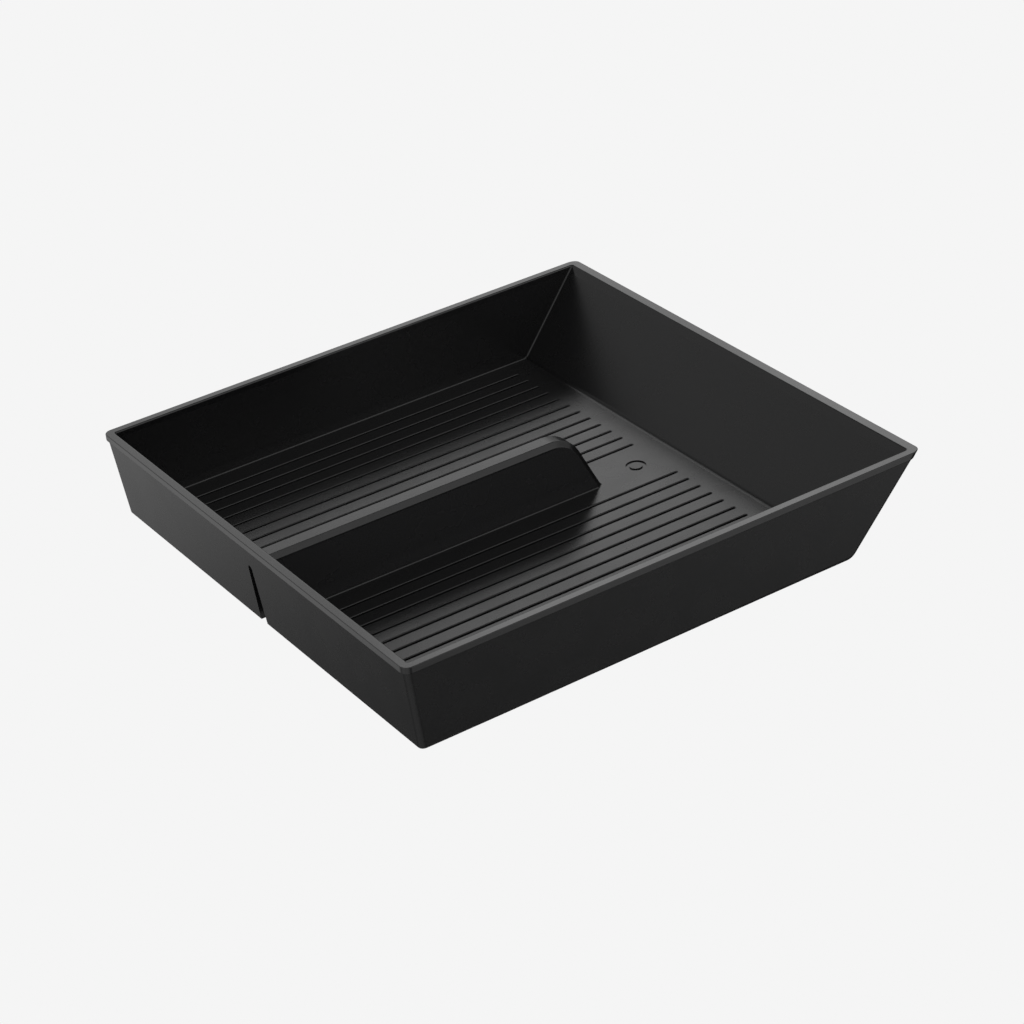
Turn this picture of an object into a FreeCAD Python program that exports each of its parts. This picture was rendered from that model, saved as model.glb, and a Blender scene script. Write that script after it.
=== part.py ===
import FreeCAD, Part
import math
import os

# Organiser insert tray: one square plastic moulding with three near-upright walls and one flared
# wall, a grooved floor, and a hollow centre divider that is open underneath and through the slot
# wall.
# Frame: origin under the centre of the rim, on the underside of the floor; +Z up; +X from the slot
# wall towards the flared wall; +Y across the tray. Millimetres.

# Driving dimensions
RIM_SIDE = 240.5            # outer side of the square rim
TRAY_HEIGHT = 38.6          # underside of the floor to the top of the rim
FLOOR_THICK = 2.4
LIP_HEIGHT = 2.9            # depth of the band round the rim
LIP_STEP = 0.6              # how far that band stands out from the wall below it
WALL_TOP_WIDTH = 3.8        # rim's outer side to the cavity, along the top
LIP_CORNER_RADIUS = 3.4     # upright corners of that band
WALL_CORNER_RADIUS = 2.5    # corners of the slot wall below it
FLARE_CORNER_RADIUS = 2.2   # corners of the flared wall below it

# Plan positions of the walls, as insets from the rim's outer side
SIDE_BASE_INSET = 2.9       # outside of the two side walls at the base
SLOT_BASE_INSET = 4.6       # outside of the slot wall at the base
FLARE_BASE_INSET = 33.4     # outside of the flared wall at the base
FLARE_TOP_INSET = 0.4       # outside of the flared wall, carried up to the rim plane
SIDE_FLOOR_INSET = 5.6      # inside of the side walls at the floor
SLOT_FLOOR_INSET = 6.6      # inside of the slot wall at the floor
FLARE_FLOOR_INSET = 34.45   # inside of the flared wall at the floor
FLARE_CAVITY_INSET = 4.15   # inside of the flared wall at the rim

# Edge rounding
RIM_OUTER_ROUND = 0.25
RIM_INNER_ROUND = 0.7
LIP_UNDER_ROUND = 0.3
BASE_ROUND = 0.7
FLARE_BASE_ROUND = 6.0
CAVITY_ROUND = 0.75
FLARE_FLOOR_ROUND = 3.0

# Centre divider
DIVIDER_TOP = 30.6          # above the underside of the floor
DIVIDER_HALF_WIDTH = 5.0
DIVIDER_CHAMFER = 2.0
DIVIDER_ROUNDOVER = 15.6    # radius where the top turns down at the free end
DIVIDER_KNEE_X = 31.15      # where the top line and the sloping end line cross
DIVIDER_END_ANGLE = 64.2    # slope of the free end, degrees from level
DIVIDER_EDGE_ROUND = 0.4
DIVIDER_SKIN = 2.25         # material round the hollow
HOLLOW_ROUND = 1.0

# Opening through the slot wall into the hollow
SLOT_BASE_HALF_WIDTH = 2.5
SLOT_TOP_HALF_WIDTH = 1.5
SLOT_TOP = 27.2
SLOT_FOOT_ROUND = 0.6

# Floor grooves
GROOVE_PITCH = 8.0
GROOVE_FIRST = 2            # first groove line, in pitches from the centre line
GROOVE_LAST = 13
GROOVE_START_X = -106.0
GROOVE_END_X = 75.1
GROOVE_BOTTOM_RADIUS = 0.55
GROOVE_BRIM_RADIUS = 0.5
GROOVE_SIDE_HEIGHT = 0.4    # upright part of a groove's side, between the two arcs
GROOVE_EDGE_SLOPE = 8.0     # slope where the groove's side meets the floor, degrees

# Plain ring sunk into the floor ahead of the divider
RING_X = 65.0
RING_OUTER_RADIUS = 4.4
RING_INNER_RADIUS = 2.8
RING_DEPTH = 0.5

HALF = RIM_SIDE / 2.0
OVERLAP = 2.0               # how far a cutting solid runs past the face that it cuts
VECTOR = FreeCAD.Vector


def frustum(base_plan, base_z, top_plan, top_z):
    """Six-sided solid between two level rectangles, each (x low, x high, half width)."""
    def corners(plan, z):
        x_low, x_high, half_y = plan
        places = ((x_low, -half_y), (x_high, -half_y), (x_high, half_y), (x_low, half_y))
        return [VECTOR(x, y, z) for x, y in places]

    low = corners(base_plan, base_z)
    high = corners(top_plan, top_z)
    loops = [low[::-1], high]
    for i in range(4):
        j = (i + 1) % 4
        loops.append([low[i], low[j], high[j], high[i]])
    faces = [Part.Face(Part.makePolygon(loop + loop[:1])) for loop in loops]
    return Part.makeSolid(Part.makeShell(faces))


def plan_between(low_plan, low_z, high_plan, high_z, z):
    """The rectangle at height z on the straight walls through two given rectangles."""
    share = (z - low_z) / (high_z - low_z)
    return tuple(a + (b - a) * share for a, b in zip(low_plan, high_plan))


def edges_where(shape, test):
    """The edges of a shape whose bounding box passes the test."""
    return [edge for edge in shape.Edges if test(edge.BoundBox)]


def is_upright(box):
    return box.ZLength > 1.0


def level_at(z, tolerance=0.01):
    """A test for an edge that lies in the level plane at z."""
    return lambda box: abs(box.ZMin - z) < tolerance and abs(box.ZMax - z) < tolerance


def fillet_each(shape, radii):
    """Rounds several edges in one step; radii is a list of (edge, start radius, end radius)."""
    document = FreeCAD.newDocument()
    base = document.addObject("Part::Feature", "Base")
    base.Shape = shape
    rounded = document.addObject("Part::Fillet", "Rounded")
    rounded.Base = base
    numbers = {edge.hashCode(): i + 1 for i, edge in enumerate(shape.Edges)}
    rounded.Edges = [(numbers[edge.hashCode()], start, end) for edge, start, end in radii]
    document.recompute()
    result = rounded.Shape.copy()
    FreeCAD.closeDocument(document.Name)
    return result


WALL_BASE_PLAN = (-HALF + SLOT_BASE_INSET, HALF - FLARE_BASE_INSET, HALF - SIDE_BASE_INSET)
WALL_RIM_PLAN = (-HALF + LIP_STEP, HALF - FLARE_TOP_INSET, HALF - LIP_STEP)
CAVITY_FLOOR_PLAN = (-HALF + SLOT_FLOOR_INSET, HALF - FLARE_FLOOR_INSET, HALF - SIDE_FLOOR_INSET)
CAVITY_RIM_PLAN = (-HALF + WALL_TOP_WIDTH, HALF - FLARE_CAVITY_INSET, HALF - WALL_TOP_WIDTH)
FLARE_RUN = (WALL_RIM_PLAN[1] - WALL_BASE_PLAN[1]) / TRAY_HEIGHT
SLOT_WALL_RUN = (WALL_RIM_PLAN[0] - WALL_BASE_PLAN[0]) / TRAY_HEIGHT


def outer_body():
    """The outside of the walls, up to the rim plane, with its edges rounded."""
    body = frustum(WALL_BASE_PLAN, 0.0, WALL_RIM_PLAN, TRAY_HEIGHT)
    flare_edge = edges_where(body, lambda b: level_at(0)(b) and b.XMin > 0 and b.XLength < 0.01)
    body = body.makeFillet(FLARE_BASE_ROUND, flare_edge)
    slot_corners = edges_where(body, lambda b: is_upright(b) and b.XMax < 0)
    body = body.makeFillet(WALL_CORNER_RADIUS, slot_corners).Solids[0]
    radii = []
    for edge in body.Edges:
        box = edge.BoundBox
        if level_at(0)(box) and box.XMin < 0:
            radii.append((edge, BASE_ROUND, BASE_ROUND))
        elif is_upright(box) and box.XMin > 0 and box.ZMax > FLARE_BASE_ROUND:
            radii.append((edge, FLARE_CORNER_RADIUS, FLARE_CORNER_RADIUS))
        elif is_upright(box) and box.XMin > 0:
            # Round the flared wall's foot the radius grows from the base's to the corner's.
            pair = [BASE_ROUND, FLARE_CORNER_RADIUS]
            if edge.valueAt(edge.FirstParameter).z > edge.valueAt(edge.LastParameter).z:
                pair.reverse()
            radii.append((edge, *pair))
    return fillet_each(body, radii)


def lip():
    """The band round the rim: upright on three sides, sloping with the flared wall on the fourth."""
    under = TRAY_HEIGHT - LIP_HEIGHT
    # The sharp edge over the flared wall is trimmed back to the rim's outer side when it is rounded.
    edge_angle = math.pi / 2.0 - math.atan(FLARE_RUN)
    sharp_x = HALF + RIM_OUTER_ROUND * (1.0 / math.tan(edge_angle / 2.0) - 1.0)
    under_plan = (-HALF, sharp_x - FLARE_RUN * LIP_HEIGHT, HALF)
    band = frustum(under_plan, under, (-HALF, sharp_x, HALF), TRAY_HEIGHT)
    band = band.makeFillet(LIP_CORNER_RADIUS, edges_where(band, is_upright))
    return band.makeFillet(LIP_UNDER_ROUND, edges_where(band, level_at(under)))


def side_profile(skin, low_z, start_low_x, start_high_x):
    """The divider seen from the side, drawn in by skin, as a face in the plane y = 0."""
    angle = math.radians(DIVIDER_END_ANGLE)
    top = DIVIDER_TOP - skin
    radius = DIVIDER_ROUNDOVER - skin
    centre_x = DIVIDER_KNEE_X - DIVIDER_ROUNDOVER * math.tan(angle / 2.0)
    centre_z = DIVIDER_TOP - DIVIDER_ROUNDOVER

    def on_arc(turn):
        return VECTOR(centre_x + radius * math.sin(turn), 0, centre_z + radius * math.cos(turn))

    last = on_arc(angle)
    foot = VECTOR(last.x + (last.z - low_z) / math.tan(angle), 0, low_z)
    start_top = VECTOR(start_high_x, 0, top)
    start_foot = VECTOR(start_low_x, 0, low_z)
    edges = [
        Part.LineSegment(start_top, on_arc(0.0)).toShape(),
        Part.Arc(on_arc(0.0), on_arc(angle / 2.0), last).toShape(),
        Part.LineSegment(last, foot).toShape(),
        Part.LineSegment(foot, start_foot).toShape(),
        Part.LineSegment(start_foot, start_top).toShape(),
    ]
    return Part.Face(Part.Wire(edges))


def across(face, half_width):
    """A face in the plane y = 0 made into a solid from -half_width to +half_width."""
    solid = face.extrude(VECTOR(0, 2 * half_width, 0))
    solid.translate(VECTOR(0, -half_width, 0))
    return solid


def divider():
    """The hump down the middle of the floor, chamfered along its top and down its free end."""
    start_x = -HALF
    body = across(side_profile(0.0, FLOOR_THICK, start_x, start_x), DIVIDER_HALF_WIDTH)

    def runs_along_top(box):
        on_a_side = box.YLength < 0.01
        return on_a_side and box.ZMax > FLOOR_THICK + 1.0 and box.XMax > start_x + 1.0

    body = body.makeChamfer(DIVIDER_CHAMFER, edges_where(body, runs_along_top))
    return body.makeFillet(DIVIDER_EDGE_ROUND, edges_where(body, runs_along_top))


def cavity():
    """The space inside the walls and over the divider, carried past the rim."""
    above = TRAY_HEIGHT + OVERLAP
    mouth = plan_between(CAVITY_FLOOR_PLAN, FLOOR_THICK, CAVITY_RIM_PLAN, TRAY_HEIGHT, above)
    space = frustum(CAVITY_FLOOR_PLAN, FLOOR_THICK, mouth, above).cut(divider()).Solids[0]
    radii = []
    for edge in space.Edges:
        box = edge.BoundBox
        on_floor = level_at(FLOOR_THICK)(box)
        corner = is_upright(box) and box.ZMax > TRAY_HEIGHT
        by_slot_wall = box.ZLength > 0.05 and box.XMax < CAVITY_FLOOR_PLAN[0] + 0.5
        if on_floor and box.XMin > CAVITY_FLOOR_PLAN[1] - 1.0:
            radii.append((edge, FLARE_FLOOR_ROUND, FLARE_FLOOR_ROUND))
        elif on_floor or corner or by_slot_wall:
            radii.append((edge, CAVITY_ROUND, CAVITY_ROUND))
    return fillet_each(space, radii)


def shell():
    """Walls, rim, floor and divider as one moulding, still closed underneath."""
    blank = outer_body().fuse(lip()).removeSplitter()
    moulding = blank.cut(cavity()).Solids[0]
    cavity_side = HALF - WALL_TOP_WIDTH + 1.0
    radii = []
    for edge in edges_where(moulding, level_at(TRAY_HEIGHT)):
        box = edge.BoundBox
        reach = max(-box.XMin, box.XMax, -box.YMin, box.YMax)
        radius = RIM_INNER_ROUND if reach < cavity_side else RIM_OUTER_ROUND
        radii.append((edge, radius, radius))
    return fillet_each(moulding, radii).Solids[0]


def hollow():
    """The space inside the divider, open underneath; it stops at the back of the slot wall."""
    foot_x = WALL_BASE_PLAN[0] + DIVIDER_SKIN
    top_x = foot_x + SLOT_WALL_RUN * (DIVIDER_TOP - DIVIDER_SKIN)
    half_width = DIVIDER_HALF_WIDTH - DIVIDER_SKIN
    space = across(side_profile(DIVIDER_SKIN, -OVERLAP, foot_x, top_x), half_width)

    def is_ridge(box):
        on_a_side = box.YLength < 0.01
        return on_a_side and box.ZMax > FLOOR_THICK and box.XMax > foot_x + 1.0

    return space.makeFillet(HOLLOW_ROUND, edges_where(space, is_ridge))


def slot():
    """The tapered opening through the slot wall: round at the top, flared where it meets the base."""
    x = -HALF - OVERLAP
    shoulder = SLOT_TOP - SLOT_TOP_HALF_WIDTH
    eighth = math.pi / 4.0
    foot_y = SLOT_BASE_HALF_WIDTH + SLOT_FOOT_ROUND
    foot_middle_y = foot_y - SLOT_FOOT_ROUND * math.cos(eighth)
    foot_middle_z = SLOT_FOOT_ROUND - SLOT_FOOT_ROUND * math.sin(eighth)

    def side_of_slot(side):
        """Points down one side: shoulder, top, middle and bottom of the flare, and below the base."""
        places = (
            (SLOT_TOP_HALF_WIDTH, shoulder),
            (SLOT_BASE_HALF_WIDTH, SLOT_FOOT_ROUND),
            (foot_middle_y, foot_middle_z),
            (foot_y, 0.0),
            (foot_y, -OVERLAP),
        )
        return [VECTOR(x, side * y, z) for y, z in places]

    left = side_of_slot(-1)
    right = side_of_slot(1)
    edges = [
        Part.Arc(left[0], VECTOR(x, 0, SLOT_TOP), right[0]).toShape(),
        Part.LineSegment(right[0], right[1]).toShape(),
        Part.Arc(right[1], right[2], right[3]).toShape(),
        Part.LineSegment(right[3], right[4]).toShape(),
        Part.LineSegment(right[4], left[4]).toShape(),
        Part.LineSegment(left[4], left[3]).toShape(),
        Part.Arc(left[3], left[2], left[1]).toShape(),
        Part.LineSegment(left[1], left[0]).toShape(),
    ]
    depth = OVERLAP + SLOT_BASE_INSET + DIVIDER_SKIN + 1.0
    return Part.Face(Part.Wire(edges)).extrude(VECTOR(depth, 0, 0))


def groove():
    """One groove's cutting solid on the centre line: round bottom, rounded brims, round ends."""
    upright = math.pi / 2.0
    edge = math.radians(GROOVE_EDGE_SLOPE)
    bottom = GROOVE_BOTTOM_RADIUS
    brim = GROOVE_BRIM_RADIUS
    brim_y = bottom + brim
    # Heights count from the floor: the brim's arc is cut off where it has the edge slope.
    brim_centre_z = -brim * math.cos(edge)
    bottom_centre_z = brim_centre_z - GROOVE_SIDE_HEIGHT

    def on_brim(turn):
        return VECTOR(0, brim_y - brim * math.sin(turn), brim_centre_z + brim * math.cos(turn))

    def on_bottom(turn):
        return VECTOR(0, bottom * math.sin(turn), bottom_centre_z - bottom * math.cos(turn))

    top_edge = on_brim(edge)
    above = VECTOR(0, top_edge.y, OVERLAP)
    middle = VECTOR(0, 0, OVERLAP)
    edges = [
        Part.Arc(on_bottom(0), on_bottom(upright / 2), on_bottom(upright)).toShape(),
        Part.LineSegment(on_bottom(upright), on_brim(upright)).toShape(),
        Part.Arc(on_brim(upright), on_brim((upright + edge) / 2), top_edge).toShape(),
        Part.LineSegment(top_edge, above).toShape(),
        Part.LineSegment(above, middle).toShape(),
        Part.LineSegment(middle, on_bottom(0)).toShape(),
    ]
    half = Part.Face(Part.Wire(edges))
    half.translate(VECTOR(0, 0, FLOOR_THICK))
    start = GROOVE_START_X + top_edge.y
    end = GROOVE_END_X - top_edge.y
    sides = []
    for x, turn in ((start, 180), (end, -180)):
        face = half.copy()
        face.translate(VECTOR(x, 0, 0))
        sides.append(face.revolve(VECTOR(x, 0, 0), VECTOR(0, 0, 1), turn))
    for face in (half.copy(), half.mirror(VECTOR(0, 0, 0), VECTOR(0, 1, 0))):
        face.translate(VECTOR(start, 0, 0))
        sides.append(face.extrude(VECTOR(end - start, 0, 0)))
    return sides[0].fuse(sides[1:]).removeSplitter()


def grooves():
    """All the grooves, both sides of the divider."""
    one = groove()
    cutters = []
    for step in range(GROOVE_FIRST, GROOVE_LAST + 1):
        for side in (-1, 1):
            cutter = one.copy()
            cutter.translate(VECTOR(0, side * step * GROOVE_PITCH, 0))
            cutters.append(cutter)
    return cutters


def ring():
    """The plain ring sunk into the floor."""
    depth = RING_DEPTH + OVERLAP
    low = VECTOR(RING_X, 0, FLOOR_THICK - RING_DEPTH)
    outer = Part.makeCylinder(RING_OUTER_RADIUS, depth, low)
    return outer.cut(Part.makeCylinder(RING_INNER_RADIUS, depth, low))


def tray():
    """The whole moulding."""
    return shell().cut([hollow(), slot(), ring()] + grooves()).Solids[0]


def main():
    os.makedirs("parts", exist_ok=True)
    moulding = tray()
    box = moulding.optimalBoundingBox(True, False)
    size = " x ".join(f"{v:.2f}" for v in (box.XLength, box.YLength, box.ZLength))
    print(f"tray_moulding: {size} mm, {moulding.Volume:.0f} mm3, valid {moulding.isValid()}")
    moulding.exportStep("parts/tray_moulding.step")


main()
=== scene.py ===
import math

import bpy
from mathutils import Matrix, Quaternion, Vector


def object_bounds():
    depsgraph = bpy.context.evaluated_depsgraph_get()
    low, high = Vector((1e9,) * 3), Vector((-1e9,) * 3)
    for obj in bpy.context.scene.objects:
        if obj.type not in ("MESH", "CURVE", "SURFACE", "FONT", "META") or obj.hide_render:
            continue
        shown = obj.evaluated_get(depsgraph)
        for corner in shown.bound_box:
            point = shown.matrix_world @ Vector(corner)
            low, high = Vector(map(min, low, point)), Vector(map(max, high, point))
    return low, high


# Looks for a black moulded organiser insert tray that stands on a pale studio floor.
# Everything is in metres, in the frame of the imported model: +Z up, +X towards the flared wall.

TRAY = "tray_moulding"

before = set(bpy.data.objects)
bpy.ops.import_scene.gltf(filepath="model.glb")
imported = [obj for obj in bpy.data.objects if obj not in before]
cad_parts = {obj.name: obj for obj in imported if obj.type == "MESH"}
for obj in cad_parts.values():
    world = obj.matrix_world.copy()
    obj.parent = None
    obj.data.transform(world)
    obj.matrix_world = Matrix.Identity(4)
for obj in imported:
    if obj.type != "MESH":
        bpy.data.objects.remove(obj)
cad_low, cad_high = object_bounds()

# Camera, from a point in the plane of the rim: how far, from where, and how it is turned.
VIEW_TARGET_X = -0.0284
VIEW_TARGET_Y = -0.0518
VIEW_DISTANCE = 1.1592
VIEW_AZIMUTH = -30.68
VIEW_ELEVATION = 29.745
VIEW_ROLL = -5.745
LENS_MM = 104.97
SENSOR_MM = 36.0

# The plastic: a band round the rim is smoother than the walls and the floor.
PLASTIC_IOR = 1.5
RIM_BAND = 0.0030
BAND_EDGE = 0.0002
RIM_ROUGHNESS = 0.12
WALL_ROUGHNESS = 0.27
# Roughness drifts slowly over the surface, by this much either way.
DRIFT = 0.01
DRIFT_SCALE = 60.0
DRIFT_DETAIL = 3.0
# The grain is a fine noise, which shifts the colour and raises the surface.
GRAIN_SCALE = 1800.0
GRAIN_DETAIL = 2.0
GRAIN_BUMP = 0.1
GRAIN_HEIGHT = 0.00005
NOISE_SPAN = (0.3, 0.7)
# Darkest and lightest level of the black, on the tray and on the divider's sides; the divider's sides get
# a greyer black, which is painted reflected light.
BLACK = (0.005, 0.010)
PAINTED_LIGHT_BLACK = (0.017, 0.026)
BLUENESS = 1.03

# The divider's two upright sides, where a greyer colour stands in for reflected light (painted light):
# where they run along each axis, and how softly
#  the painted light ends there. Y counts to both sides of the middle.
DIVIDER_SIDE_X = (-0.1135, 0.0440)
DIVIDER_SIDE_Y = (0.0048, 0.0052)
DIVIDER_SIDE_Z = (0.0032, 0.0280)
SOFT_END_X = 0.0015
SOFT_END_Y = 0.0001
SOFT_END_Z = 0.0006

# The studio floor is a wide disc just under the tray.
FLOOR_RADIUS = 8.0
FLOOR_SIDES = 96
FLOOR_GAP = 0.0002
FLOOR_TONE = 0.913


def direction(azimuth, elevation):
    """Unit vector at azimuth degrees from +X towards +Y, and elevation degrees above level."""
    a = math.radians(azimuth)
    e = math.radians(elevation)
    return Vector((math.cos(a) * math.cos(e), math.sin(a) * math.cos(e), math.sin(e)))


def make_camera():
    data = bpy.data.cameras.new("camera")
    data.lens = LENS_MM
    data.sensor_width = SENSOR_MM
    camera = bpy.data.objects.new("camera", data)
    bpy.context.scene.collection.objects.link(camera)
    target = Vector((VIEW_TARGET_X, VIEW_TARGET_Y, cad_high.z))
    # A view azimuth of 0 looks along +Y, and one of 90 looks along -X.
    back = direction(VIEW_AZIMUTH - 90.0, VIEW_ELEVATION)
    camera.location = target + back * VIEW_DISTANCE
    camera.rotation_mode = "QUATERNION"
    aim = (-back).to_track_quat("-Z", "Y")
    camera.rotation_quaternion = aim @ Quaternion((0, 0, 1), math.radians(VIEW_ROLL))
    bpy.context.scene.camera = camera


class Nodes:
    """Adds shader nodes and links them up."""

    def __init__(self, tree):
        self.tree = tree
        tree.nodes.clear()

    def add(self, kind, **settings):
        node = self.tree.nodes.new(kind)
        for name, value in settings.items():
            setattr(node, name, value)
        return node

    def put(self, value, socket):
        """Links an output to a socket, or sets the socket to a plain value."""
        if isinstance(value, bpy.types.NodeSocket):
            self.tree.links.new(value, socket)
        else:
            socket.default_value = value

    def math(self, operation, *values):
        node = self.add("ShaderNodeMath", operation=operation)
        for value, socket in zip(values, node.inputs):
            self.put(value, socket)
        return node.outputs[0]

    def ramp(self, value, low, high, to_low=0.0, to_high=1.0, kind="SMOOTHSTEP"):
        """to_low where the value is at or under low, to_high where it is at or over high."""
        node = self.add("ShaderNodeMapRange", interpolation_type=kind)
        for item, socket in zip((value, low, high, to_low, to_high), node.inputs):
            self.put(item, socket)
        return node.outputs[0]

    def noise(self, coordinates, scale, detail):
        node = self.add("ShaderNodeTexNoise")
        self.put(coordinates, node.inputs["Vector"])
        node.inputs["Scale"].default_value = scale
        node.inputs["Detail"].default_value = detail
        return node.outputs["Fac"]


# Soft studio light: a faint glow from everywhere, a band of glow round the horizon, and soft boxes.
# Angles are in degrees. The band rises and falls between two elevations each, and the soft boxes
# fade out between two elevations below the horizon.
GLOW = 0.40
GLOW_RISES = (-28.0, -20.0)
GLOW_FALLS = (30.0, 50.0)
FAINT_GLOW = 0.08
FADE = (-36.0, -31.0)
# Each soft box: azimuth, elevation, half angle of its full part, half angle of all of it, strength.
SOFT_BOXES = (
    (70.0, 28.0, 2.0, 20.0, 0.35),
    (74.0, 41.0, 2.0, 8.0, 1.00),
    (60.0, 24.0, 2.0, 10.0, 0.70),
    (57.0, 33.0, 2.0, 6.0, 1.20),
    (50.0, 29.0, 1.0, 5.0, 1.30),
    (-45.0, -24.0, 10.0, 36.0, 0.70),
    (-60.0, 30.0, 10.0, 40.0, 0.50),
    (-48.0, 48.0, 4.0, 24.0, 0.50),
    (122.0, -24.0, 8.0, 32.0, 0.60),
    (210.0, 20.0, 10.0, 40.0, 0.45),
    (210.0, -24.0, 25.0, 60.0, 0.50),
    (0.0, 90.0, 10.0, 30.0, 0.40),
)
# One more soft box, which doesn't fade out, for the upright corner between the slot wall and the
# side wall at -Y.
LOW_BOX = (210.0, -44.0, 10.0, 60.0, 0.28)


def sine(degrees):
    return math.sin(math.radians(degrees))


def cosine(degrees):
    return math.cos(math.radians(degrees))


def soft_box(nodes, towards, azimuth, elevation, inner, outer, strength):
    """The light of one soft box, by the cosine of the angle from its middle."""
    dot = nodes.add("ShaderNodeVectorMath", operation="DOT_PRODUCT")
    nodes.put(towards, dot.inputs[0])
    dot.inputs[1].default_value = direction(azimuth, elevation)
    return nodes.ramp(dot.outputs["Value"], cosine(outer), cosine(inner), 0.0, strength)


def make_world():
    world = bpy.data.worlds.new("studio")
    bpy.context.scene.world = world
    world.use_nodes = True
    nodes = Nodes(world.node_tree)
    towards = nodes.add("ShaderNodeTexCoord").outputs["Generated"]
    apart = nodes.add("ShaderNodeSeparateXYZ")
    nodes.put(towards, apart.inputs[0])
    height = apart.outputs["Z"]
    rise = nodes.ramp(height, sine(GLOW_RISES[0]), sine(GLOW_RISES[1]), 0.0, GLOW)
    fall = nodes.ramp(height, sine(GLOW_FALLS[0]), sine(GLOW_FALLS[1]), 1.0, 0.0)
    glow = nodes.math("MULTIPLY", rise, fall)
    total = nodes.math("ADD", glow, FAINT_GLOW)
    fade = nodes.ramp(height, sine(FADE[0]), sine(FADE[1]))
    for box in SOFT_BOXES:
        total = nodes.math("MULTIPLY_ADD", soft_box(nodes, towards, *box), fade, total)
    total = nodes.math("ADD", total, soft_box(nodes, towards, *LOW_BOX))
    background = nodes.add("ShaderNodeBackground")
    background.inputs["Color"].default_value = (1, 1, 1, 1)
    nodes.put(total, background.inputs["Strength"])
    output = nodes.add("ShaderNodeOutputWorld")
    nodes.put(background.outputs[0], output.inputs["Surface"])


def make_floor():
    data = bpy.data.meshes.new("floor")
    height = cad_low.z - FLOOR_GAP
    turns = [2 * math.pi * i / FLOOR_SIDES for i in range(FLOOR_SIDES)]
    rim = [(FLOOR_RADIUS * math.cos(t), FLOOR_RADIUS * math.sin(t), height) for t in turns]
    data.from_pydata(rim, [], [list(range(FLOOR_SIDES))])
    floor = bpy.data.objects.new("floor", data)
    bpy.context.scene.collection.objects.link(floor)
    material = bpy.data.materials.new("floor")
    material.use_nodes = True
    nodes = Nodes(material.node_tree)
    glow = nodes.add("ShaderNodeEmission")
    glow.inputs["Color"].default_value = (1, 1, 1, 1)
    glow.inputs["Strength"].default_value = FLOOR_TONE
    output = nodes.add("ShaderNodeOutputMaterial")
    nodes.put(glow.outputs[0], output.inputs["Surface"])
    data.materials.append(material)
    floor.visible_glossy = False
    floor.visible_diffuse = False


def painted_light_on_divider_sides(nodes, x, y, z):
    """1 on the divider's two upright sides, where reflected light is painted into the colour, and 0
    elsewhere.
    """
    ranges = (
        (x, DIVIDER_SIDE_X, SOFT_END_X),
        (nodes.math("ABSOLUTE", y), DIVIDER_SIDE_Y, SOFT_END_Y),
        (z, DIVIDER_SIDE_Z, SOFT_END_Z),
    )
    mask = 1.0
    for value, (low, high), edge in ranges:
        mask = nodes.math("MULTIPLY", mask, nodes.ramp(value, low - edge, low + edge))
        mask = nodes.math("MULTIPLY", mask, nodes.ramp(value, high - edge, high + edge, 1.0, 0.0))
    return mask


def black(nodes, grain, low, high):
    """A black that the grain moves between two levels."""
    colour = nodes.add("ShaderNodeMix", data_type="RGBA")
    nodes.put(grain, colour.inputs["Factor"])
    colour.inputs["A"].default_value = (low, low, low * BLUENESS, 1)
    colour.inputs["B"].default_value = (high, high, high * BLUENESS, 1)
    return colour.outputs["Result"]


def make_plastic():
    """Black moulded plastic: finely grained, smoother round the rim, and greyer on the divider's sides,
    where reflected light is painted into the colour.
    """
    material = bpy.data.materials.new("tray_plastic_looks")
    material.use_nodes = True
    nodes = Nodes(material.node_tree)
    place = nodes.add("ShaderNodeTexCoord").outputs["Object"]
    apart = nodes.add("ShaderNodeSeparateXYZ")
    nodes.put(place, apart.inputs[0])
    x, y, z = apart.outputs["X"], apart.outputs["Y"], apart.outputs["Z"]
    shader = nodes.add("ShaderNodeBsdfPrincipled")
    shader.inputs["IOR"].default_value = PLASTIC_IOR

    band_low = cad_high.z - RIM_BAND
    band = nodes.ramp(z, band_low, band_low + BAND_EDGE)
    level = nodes.ramp(band, 0.0, 1.0, WALL_ROUGHNESS, RIM_ROUGHNESS, "LINEAR")
    drift = nodes.ramp(nodes.noise(place, DRIFT_SCALE, DRIFT_DETAIL), *NOISE_SPAN, -DRIFT, DRIFT)
    nodes.put(nodes.math("ADD", level, drift), shader.inputs["Roughness"])

    grain = nodes.noise(place, GRAIN_SCALE, GRAIN_DETAIL)
    spread = nodes.ramp(grain, *NOISE_SPAN)
    colour = nodes.add("ShaderNodeMix", data_type="RGBA")
    # The divider's sides get a greyer black: painted reflected light, not the plastic's own colour.
    nodes.put(painted_light_on_divider_sides(nodes, x, y, z), colour.inputs["Factor"])
    nodes.put(black(nodes, spread, *BLACK), colour.inputs["A"])
    nodes.put(black(nodes, spread, *PAINTED_LIGHT_BLACK), colour.inputs["B"])
    nodes.put(colour.outputs["Result"], shader.inputs["Base Color"])

    bump = nodes.add("ShaderNodeBump")
    bump.inputs["Strength"].default_value = GRAIN_BUMP
    bump.inputs["Distance"].default_value = GRAIN_HEIGHT
    nodes.put(grain, bump.inputs["Height"])
    nodes.put(bump.outputs[0], shader.inputs["Normal"])
    output = nodes.add("ShaderNodeOutputMaterial")
    nodes.put(shader.outputs[0], output.inputs["Surface"])
    return material


def dress_tray():
    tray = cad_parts[TRAY]
    material = make_plastic()
    for place in tray.material_slots:
        place.material = material


make_camera()
make_world()
make_floor()
dress_tray()
bpy.context.scene.view_settings.view_transform = "Standard"
